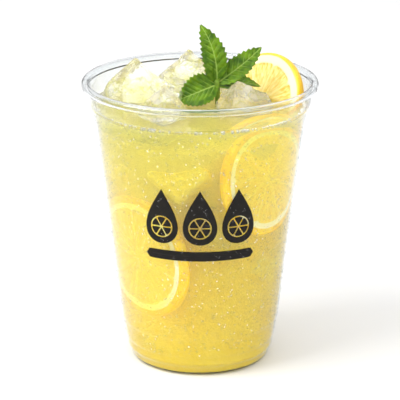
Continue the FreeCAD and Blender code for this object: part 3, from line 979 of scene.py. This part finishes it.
def leaf_grid(leaf, seed):
    """Top face of a leaf as a grid of points in its own axes, with how near each is to a vein."""
    length, width, _, _, _, _, bend, sway = leaf
    share = np.linspace(0.0, 1.0, LEAF_ROWS)[:, None]
    across = np.linspace(-1.0, 1.0, 2 * LEAF_HALF + 1)[None, :]
    between = np.clip(share, TINY, 1 - TINY)
    half = width / 2 * np.sin(math.pi * between ** WIDE_POWER) ** BLUNT_POWER
    y = toothed(share, across, half, min(1.0, width / FULL_WIDTH))
    vein, bulge = leaf_veins(share, across, y, length, width)
    height = leaf_relief(share, across, y, length, width, half / (width / 2), bulge, seed)
    y = y + 4 * sway * share * (1 - share)
    angle = share * length / bend
    x = (bend + height) * np.sin(angle)
    z = (bend + height) * np.cos(angle) - bend
    return np.stack([x, y + 0 * x, z], 2), vein


def sheet_faces(rows, columns):
    """Faces of a sheet: a grid, its under face, and the edge that joins the two all round."""
    count = rows * columns
    faces = []
    for row in range(rows - 1):
        for column in range(columns - 1):
            a = row * columns + column
            b, c, d = a + columns, a + columns + 1, a + 1
            faces.append((a, b, c, d))
            faces.append((count + d, count + c, count + b, count + a))
    border = [row * columns for row in range(rows)]
    border += [(rows - 1) * columns + column for column in range(1, columns)]
    border += [row * columns + columns - 1 for row in range(rows - 2, -1, -1)]
    border += list(range(columns - 2, 0, -1))
    for first, second in zip(border, border[1:] + border[:1]):
        faces.append((second, first, count + first, count + second))
    return faces


def leaf_mesh(leaf, seed):
    """Vertices, faces and vein values of one leaf, in place."""
    _, _, drop, bearing, rise, roll, _, _ = leaf
    top, vein = leaf_grid(leaf, seed)
    rows, columns = vein.shape
    up = np.cross(np.gradient(top, axis=0), np.gradient(top, axis=1))
    up /= np.maximum(np.linalg.norm(up, axis=2), NO_AREA)[:, :, None]
    taper = np.clip(1 - np.abs(np.linspace(-1, 1, columns)) ** 8, EDGE_THINNESS, 1)
    under = top - up * LEAF_THICKNESS * taper[None, :, None]
    points = np.concatenate([top.reshape(-1, 3), under.reshape(-1, 3)])
    points = points @ np.array(turned(bearing, -rise, roll)).T
    points += np.array(HEART) - np.array([0, 0, drop])
    veins = np.concatenate([vein.ravel(), UNDER_VEIN * vein.ravel()])
    return points, sheet_faces(rows, columns), veins


def stem_mesh():
    """The square stem with its rounded corners, slightly crooked, from the heart downwards."""
    angles = round_angles(STEM_SIDES)
    section = np.abs(np.cos(angles)) ** STEM_SQUARE + np.abs(np.sin(angles)) ** STEM_SQUARE
    square = 1 / section ** (1 / STEM_SQUARE)
    x, y, z = HEART
    z += STEM_WIDTH / 2
    points = [[[x, y, z]]]
    for step in np.linspace(0, 1, STEM_RINGS):
        half = STEM_WIDTH / 2 * (1 - (1 - STEM_TAPER) * step)
        half *= min(1.0, STEM_CHAMFER + step * STEM_WIDENING)
        middle = x + STEM_CROOK * math.sin(step * STEM_CROOKS)
        height = z - STEM_CAP - (STEM_LENGTH - 2 * STEM_CAP) * step
        points.append(np.stack([middle + half * square * np.cos(angles),
                                y + half * square * np.sin(angles),
                                np.full(STEM_SIDES, height)], 1))
    points.append([[x, y, z - STEM_LENGTH]])
    points = np.concatenate(points)
    faces = stacked_faces(STEM_RINGS, STEM_SIDES, upwards=False)
    return points, faces, np.full(len(points), STEM_VEIN)


def mint_material():
    """Satin leaf green in blotches, with paler veins."""
    nodes = Nodes("mint")
    blotch = nodes.noise(scale=240.0, detail=4.0, roughness=0.6)
    leaf = nodes.mix(nodes.ramp(blotch, 0.3, 0.7), *MINT_TINTS)
    vein = nodes.ramp(nodes.attribute("vein"), 0.25, 1.0, to_high=0.8)
    height = nodes.math("ADD", nodes.math("MULTIPLY", nodes.cells(1500.0), 0.5), blotch)
    shade = nodes.surface(Base_Color=nodes.mix(vein, leaf, VEIN_TINT), Roughness=0.48, IOR=1.45,
                          Subsurface_Weight=0.12, Subsurface_Scale=0.001, Specular_IOR_Level=0.2,
                          Normal=nodes.bump(height, distance=0.16))
    return nodes.finish(shade)


def make_mint():
    """One sprig: four leaves, two young ones and the stem."""
    parts = [leaf_mesh(leaf, LEAF_SEED + index) for index, leaf in enumerate(LEAVES)] + [stem_mesh()]
    vertices = []
    faces = []
    veins = []
    for points, part_faces, vein in parts:
        start = len(vertices)
        vertices += points.tolist()
        faces += [tuple(start + index for index in face) for face in part_faces]
        veins += vein.tolist()
    sprig = new_object("mint", vertices, faces)
    store(sprig.data, "vein", veins)
    sprig.data.materials.append(mint_material())
    return sprig


# ---- Droplets and bubbles ----

BEAD_COUNT = 1900  # broad faint beads on the outer wall, and fine bright ones
BEAD_SIZES = (0.35, 0.62)
BEAD_FLATNESS = 0.8
MIST_COUNT = 1500
MIST_SIZES = (0.17, 0.34)
MIST_FLATNESS = 0.55
BEADS_FROM = 9.0  # the lowest bead, and how far up from there they go
BEADS_RISE = 99.0
BEADS_POWER = 0.85  # below 1, more of them stand high up
BEAD_SINK = 0.04  # how deep a bead's middle lies in the wall
BEAD_SIDES = 8
DOME = (tuple(math.radians(angle) for angle in (55, 25, 0)), 0.25)  # (rings, depth of the foot)
BALL = (tuple(math.radians(angle) for angle in (50, 15, -20, -55)), 1.0)
BUBBLE_RING = 420  # bubbles afloat along the wall
FOAM_SIZES = (0.28, 0.45)  # the least radius, and how much larger a bubble may be
FOAM_AWAY = (0.25, 1.6)  # the least gap to the wall, and how much further off it may float
FOAM_RISE = 0.1  # share of its radius by which a bubble stands over the surface
BUBBLES_INSIDE = 900
BUBBLES_FROM = 8.0  # the lowest bubble, and how far up from there they go
BUBBLES_RISE = 98.0
INSIDE_SIZES = (0.08, 0.09, 0.12)  # the least radius, what most add to it, and what a few add
INSIDE_AWAY = (0.1, 1.2)
WATER_SEED = 12
WATER_TINTS = ((0.97, 0.98, 0.98), (1.0, 1.0, 1.0))
BEAD_TINT = (0.945, 0.955, 0.955)
BUBBLE_TINTS = ((1.0, 0.97, 0.80), (1.0, 1.0, 0.94))


def outside_radius(height):
    return inside_radius(height) + WALL


def outside_slope(height):
    """Unit vectors (radial, vertical) square to the outer wall at a height."""
    rise = (outside_radius(height + 0.5) - outside_radius(height - 0.5))
    size = math.hypot(1.0, rise)
    return 1.0 / size, -rise / size


def add_bead(vertices, faces, centre, normal, size, flatness, shape):
    """Adds a closed bead: rings from its outer pole to its inner pole, flattened along its normal."""
    levels, foot = shape
    normal = np.array(normal)
    first = np.cross(normal, (0.0, 0.0, 1.0))
    upright = abs(normal[2]) > 0.99
    first = np.array([1.0, 0, 0]) if upright else first / np.linalg.norm(first)
    second = np.cross(normal, first)
    angles = round_angles(BEAD_SIDES)
    outwards = np.outer(np.cos(angles), first) + np.outer(np.sin(angles), second)
    thick = normal * size * flatness
    start = len(vertices)
    vertices.append(centre + thick)
    for level in levels:
        vertices.extend(centre + outwards * size * math.cos(level) + thick * math.sin(level))
    vertices.append(centre - thick * foot)
    last = len(vertices) - 1
    low = last - BEAD_SIDES
    for k in range(BEAD_SIDES):
        after = (k + 1) % BEAD_SIDES
        faces.append((start, start + 1 + k, start + 1 + after))
        for upper in range(start + 1, low, BEAD_SIDES):
            lower = upper + BEAD_SIDES
            faces.append((upper + k, lower + k, lower + after, upper + after))
        faces.append((last, low + after, low + k))


def bead_object(name, count, sizes, flatness, seed):
    """Beads of water scattered over the outer wall, with sizes that run from first to last."""
    draw = random.Random(seed)
    vertices, faces = [], []
    for _ in range(count):
        height = BEADS_FROM + BEADS_RISE * draw.random() ** BEADS_POWER
        angle = draw.uniform(0, 2 * math.pi)
        size = draw.uniform(*sizes)
        radial, vertical = outside_slope(height)
        normal = np.array([radial * math.cos(angle), radial * math.sin(angle), vertical])
        reach = float(outside_radius(height))
        centre = np.array([reach * math.cos(angle), reach * math.sin(angle), height])
        add_bead(vertices, faces, centre - normal * BEAD_SINK, normal, size, flatness, DOME)
    return new_object(name, vertices, faces)


def water_material():
    nodes = Nodes("water")
    tint = nodes.mix(nodes.noise(scale=80.0), *WATER_TINTS)
    return nodes.finish(nodes.surface(Base_Color=tint, Roughness=0.02, IOR=1.33,
                                      Transmission_Weight=1.0))


def make_droplets():
    """Condensation on the outer wall: a fine mist of bright beads, and broader faint ones."""
    mist = bead_object("condensation_fine", MIST_COUNT, MIST_SIZES, MIST_FLATNESS, WATER_SEED)
    mist.data.materials.append(water_material())
    beads = bead_object("condensation_beads", BEAD_COUNT, BEAD_SIZES, BEAD_FLATNESS, WATER_SEED + 2)
    beads.data.materials.append(film_material(
        "water_film", index=1.6, roughness=0.02, waves=0.0, tint=BEAD_TINT))
    return mist, beads


def bubble_places(draw):
    """(x, y, height, size) of the bubbles: a ring afloat at the wall, and many behind the wall."""
    places = []
    for _ in range(BUBBLE_RING):
        angle = draw.uniform(0, 2 * math.pi)
        size = FOAM_SIZES[0] + FOAM_SIZES[1] * draw.random() ** 2
        away = size + FOAM_AWAY[0] + FOAM_AWAY[1] * draw.random() ** 3
        radius = float(inside_radius(LEVEL)) - away
        height = LEVEL + MENISCUS_RISE * math.exp(-away / MENISCUS_REACH) + FOAM_RISE * size
        places.append((radius * math.cos(angle), radius * math.sin(angle), height, size))
    for _ in range(BUBBLES_INSIDE):
        angle = draw.uniform(0, 2 * math.pi)
        height = BUBBLES_FROM + BUBBLES_RISE * draw.random()
        least, most, few = INSIDE_SIZES
        size = least + most * draw.random() + few * draw.random() ** 6
        away = INSIDE_AWAY[1] * draw.random() ** 2
        radius = float(inside_radius(height)) - size - INSIDE_AWAY[0] - away
        places.append((radius * math.cos(angle), radius * math.sin(angle), height, size))
    return places


def make_bubbles():
    """Small pale balls, seen in the foam line at the wall and here and there in the drink."""
    draw = random.Random(WATER_SEED + 1)
    vertices, faces = [], []
    for x, y, z, size in bubble_places(draw):
        add_bead(vertices, faces, np.array([x, y, z]), (0.0, 0.0, 1.0), size, 1.0, BALL)
    bubbles = new_object("bubbles", vertices, faces)
    nodes = Nodes("bubble")
    tint = nodes.mix(nodes.noise(scale=60.0), *BUBBLE_TINTS)
    bubbles.data.materials.append(nodes.finish(nodes.surface(
        Base_Color=tint, Roughness=0.08, IOR=1.33, Transmission_Weight=0.35)))
    return bubbles


# ---- Print ----

INK_OUT = 0.05  # the ink's outer and inner faces, measured from the outer wall
INK_IN = 0.04
PRINT_CENTRE = 72.5  # height of the middle of the row of drops
DROP_WIDTH = 14.0
DROP_HEIGHT = 24.0
DROP_POINT = 1.3  # how pointed the drop's upper end is
BELLY_HEIGHT = -4.6  # of the middle of the drop's round part, from its middle
DROP_PITCH = 16.0
WHEEL_SHARE = 0.34  # the citrus wheel's radius as a share of the drop's width
WHEEL_SEGMENTS = 6
WHEEL_MIDDLE = 0.60  # where a segment's middle lies, as a share of the wheel's radius
WHEEL_REACH = 0.88  # where the segments end
SPOKE = 0.28  # half the gap between two segments
SEGMENT_SOFT = 0.16  # rounding of their corners
BAR_HEIGHT = 4.2
BAR_WIDTH = 46.0
BAR_CENTRE = 55.5
OUTLINE_POINTS = 72
HALVINGS = 12  # steps of the search for a segment's edge
STRIPS = 6  # bands between a shape's inner and outer outline
PINHOLE = 0.004  # what is left open in a filled shape, as a share of its size
BAR_SLIT = 0.01  # and half the width of what is left open in the bar
INK_TINTS = ((0.004, 0.003, 0.002), (0.008, 0.006, 0.004))


def drop_outline():
    """Outline of a falling drop, pointed above, about the middle of its round part."""
    turn = round_angles(OUTLINE_POINTS)
    across = np.sin(turn) * np.sin(turn / 2) ** DROP_POINT
    across *= DROP_WIDTH / 2 / across.max()
    upward = DROP_HEIGHT / 2 * np.cos(turn) - BELLY_HEIGHT
    return np.stack([-across, upward], 1)


def round_inside(outline, radius):
    """Points of a circle, each on the way to the outline's own point."""
    return outline * (radius / np.linalg.norm(outline, axis=1))[:, None]


def wheel_segment(index, radius):
    """(outline, middle) of one rounded juice segment of a citrus wheel."""
    bearing = (index + 0.5) * 2 * math.pi / WHEEL_SEGMENTS
    centre = WHEEL_MIDDLE * radius * np.array([math.cos(bearing), math.sin(bearing)])
    points = []
    for angle in round_angles(OUTLINE_POINTS):
        way = np.array([math.cos(angle), math.sin(angle)])
        inner, outer = 0.0, radius
        for _ in range(HALVINGS):
            reach = (inner + outer) / 2
            if segment_margin(centre + way * reach, bearing, radius) > 0:
                inner = reach
            else:
                outer = reach
        points.append(centre + way * inner)
    return np.array(points), centre


def segment_margin(point, bearing, radius):
    """How far a point lies inside the printed segment on that bearing."""
    distance = math.hypot(*point)
    angle = (math.atan2(point[1], point[0]) - bearing + math.pi) % (2 * math.pi) - math.pi
    half = math.pi / WHEEL_SEGMENTS
    side = distance * math.sin(max(0.0, half - abs(angle))) - SPOKE
    limits = np.array([side, WHEEL_REACH * radius - distance])
    return -SEGMENT_SOFT * math.log(np.exp(-limits / SEGMENT_SOFT).sum())


def bar_outlines():
    """Outer and inner outline of a bar with round ends: the inner one runs along its middle."""
    half = (BAR_WIDTH - BAR_HEIGHT) / 2
    steps = np.linspace(-1, 1, OUTLINE_POINTS // 2)
    length = half + BAR_HEIGHT / 2
    across = np.concatenate([steps, -steps]) * length
    beyond = np.clip(np.abs(across) - half, 0, None)
    height = np.sqrt(np.clip((BAR_HEIGHT / 2) ** 2 - beyond ** 2, BAR_SLIT ** 2, None))
    side = np.repeat([-1, 1], OUTLINE_POINTS // 2)
    middle = np.stack([across * half / length, side * BAR_SLIT], 1)
    return np.stack([across, side * height], 1), middle


def on_wall(across, height, depth):
    """The point that far round the cup's front, and that far out of its wall."""
    radial, vertical = outside_slope(height)
    reach = float(outside_radius(height))
    angle = across / reach - math.pi / 2
    out = reach + depth * radial
    return out * math.cos(angle), out * math.sin(angle), height + depth * vertical


def add_inked(vertices, faces, outer, inner, shift):
    """Adds the area between two outlines as a thin solid that lies on the outer wall."""
    start = len(vertices)
    flat = np.concatenate([outer * (1 - share) + inner * share + shift
                           for share in np.linspace(0, 1, STRIPS + 1)])
    for depth in (INK_OUT, -INK_IN):
        vertices += [on_wall(across, height, depth) for across, height in flat]
    count = len(flat)
    n = OUTLINE_POINTS
    for row in range(STRIPS):
        for a, b, c, d in band_faces(start + row * n, start + (row + 1) * n, n):
            faces.append((a, b, c, d))
            faces.append((d + count, c + count, b + count, a + count))
    for a, b, _, _ in band_faces(start, start + n, n):
        faces.append((b, a, a + count, b + count))
        c, d = a + STRIPS * n, b + STRIPS * n
        faces.append((c, d, d + count, c + count))


def add_filled(vertices, faces, outline, centre, shift):
    """Adds a filled outline, shrunk in bands to a pinhole that is too small to see."""
    add_inked(vertices, faces, outline, centre + (outline - centre) * PINHOLE, shift)


def ink_material():
    nodes = Nodes("ink")
    cover = nodes.noise(scale=420.0)
    colour = nodes.mix(nodes.ramp(cover, 0.35, 0.7), *INK_TINTS)
    shade = nodes.surface(Base_Color=colour, Roughness=0.55, Specular_IOR_Level=0.2,
                          Normal=nodes.bump(cover, distance=0.05))
    return nodes.finish(shade)


def make_print():
    """A plain black motif: three drops with a citrus wheel in each, over a bar."""
    vertices, faces = [], []
    wheel = DROP_WIDTH * WHEEL_SHARE
    drop = drop_outline()
    segments = [wheel_segment(index, wheel) for index in range(WHEEL_SEGMENTS)]
    for column in (-1, 0, 1):
        shift = np.array([column * DROP_PITCH, PRINT_CENTRE + BELLY_HEIGHT])
        add_inked(vertices, faces, drop, round_inside(drop, wheel), shift)
        for outline, centre in segments:
            add_filled(vertices, faces, outline, centre, shift)
    add_inked(vertices, faces, *bar_outlines(), np.array([0.0, BAR_CENTRE]))
    ink = new_object("print", vertices, faces)
    ink.data.materials.append(ink_material())
    return ink


# ---- Studio ----

CAMERA_DISTANCE = 900.0
CAMERA_ELEVATION = 17.91
CAMERA_AIM = 67.56
CAMERA_LENS = 193.3
SENSOR = 36.0
VIEW_END = 50.0  # metres
FLOOR_HALF = 4000.0
FLOOR_TINTS = ((0.82, 0.82, 0.82), (0.84, 0.84, 0.84))
SKY_STOPS = (
    # (height as the sine of the elevation, brightness)
    (0.0, 0.9), (0.03, 0.26), (0.11, 0.30), (0.20, 1.02), (1.0, 1.08),
)
SKY_BLUE = 1.005  # how much bluer than grey the sky is
LIGHTS = (
    # (name, place in metres, size in metres, power in watts)
    ("key", (-0.5, -0.25, 0.7), 0.5, 5.6),
    ("fill", (0.35, -0.9, 0.45), 0.7, 2.8),
)
LIGHT_AIM = (0.0, 0.0, 0.06)  # metres


def make_floor():
    half = FLOOR_HALF
    corners = [(-half, -half, 0), (half, -half, 0), (half, half, 0), (-half, half, 0)]
    floor = new_object("floor", corners, [(0, 1, 2, 3)])
    nodes = Nodes("floor")
    tint = nodes.mix(nodes.noise(scale=3.0), *FLOOR_TINTS)
    floor.data.materials.append(nodes.finish(nodes.surface(Base_Color=tint, Roughness=0.7)))


def make_world():
    """White studio with a dim band near the horizon, which clear plastic needs to be seen."""
    world = bpy.data.worlds.new("studio")
    bpy.context.scene.world = world
    world.use_nodes = True
    tree = world.node_tree
    where = tree.nodes.new("ShaderNodeTexCoord")
    split = tree.nodes.new("ShaderNodeSeparateXYZ")
    tree.links.new(where.outputs["Generated"], split.inputs[0])
    band = tree.nodes.new("ShaderNodeValToRGB")
    stops = band.color_ramp.elements
    while len(stops) < len(SKY_STOPS):
        stops.new(0.5)
    for stop, (height, level) in zip(stops, SKY_STOPS):
        stop.position = height
        stop.color = (level, level, level * SKY_BLUE, 1)
    tree.links.new(split.outputs["Z"], band.inputs[0])
    tree.links.new(band.outputs[0], tree.nodes["Background"].inputs["Color"])


def make_light(name, spot, size, power):
    """A soft square light aimed at the middle of the drink."""
    light = bpy.data.lights.new(name, "AREA")
    light.size = size
    light.energy = power
    lamp = bpy.data.objects.new(name, light)
    lamp.location = spot
    lamp.rotation_mode = "QUATERNION"
    lamp.rotation_quaternion = (Vector(spot) - Vector(LIGHT_AIM)).to_track_quat("Z", "Y")
    bpy.context.scene.collection.objects.link(lamp)


def make_camera():
    """The photograph's viewpoint, worked out from the ellipses of the rim and the foot."""
    elevation = math.radians(CAMERA_ELEVATION)
    data = bpy.data.cameras.new("camera")
    data.lens = CAMERA_LENS
    data.sensor_width = SENSOR
    data.clip_end = VIEW_END
    camera = bpy.data.objects.new("camera", data)
    camera.location = (0.0, -CAMERA_DISTANCE * math.cos(elevation) * MM,
                       (CAMERA_AIM + CAMERA_DISTANCE * math.sin(elevation)) * MM)
    camera.rotation_euler = (math.pi / 2 - elevation, 0.0, 0.0)
    bpy.context.scene.collection.objects.link(camera)
    bpy.context.scene.camera = camera


def make_studio():
    """Floor, light and camera, and enough bounces for light to get through ice and juice."""
    make_floor()
    make_world()
    for light in LIGHTS:
        make_light(*light)
    make_camera()
    scene = bpy.context.scene
    scene.view_settings.view_transform = "Standard"
    scene.cycles.use_denoising = True
    scene.cycles.max_bounces = 40
    scene.cycles.volume_bounces = 32
    scene.cycles.transmission_bounces = 16
    scene.cycles.transparent_max_bounces = 32


def place(piece, slot, *nodes):
    """Hangs a piece under the root body and hides the CAD nodes that it stands for; the slot is not
    used.
    """
    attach(piece, "root")
    if nodes:
        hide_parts(*nodes)


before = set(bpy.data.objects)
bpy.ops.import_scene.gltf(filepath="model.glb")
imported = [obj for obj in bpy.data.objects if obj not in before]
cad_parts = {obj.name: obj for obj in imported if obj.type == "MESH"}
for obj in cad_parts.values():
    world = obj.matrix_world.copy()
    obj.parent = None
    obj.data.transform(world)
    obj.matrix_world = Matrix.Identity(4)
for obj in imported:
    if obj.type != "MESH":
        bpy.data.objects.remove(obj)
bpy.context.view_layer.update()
make_studio()
place(make_cup(), "clear_sheet", "cup")
floating, sunk = make_ice()
for block, node in zip(floating, ICE_NODES):
    place(block, "ice", node)
for block in sunk:
    place(block, "ice")
place(make_drink(floating), "drink", "lemonade")
place(make_core(floating), "drink")
top_slice, sunk_slices = make_slices()
place(top_slice, "lemon", "lemon_slice")
for piece in sunk_slices:
    place(piece, "lemon")
place(make_mint(), "mint", "mint_sprig")
for beads in make_droplets():
    place(beads, "clear_sheet")
place(make_bubbles(), "drink")
place(make_print(), "clear_sheet")
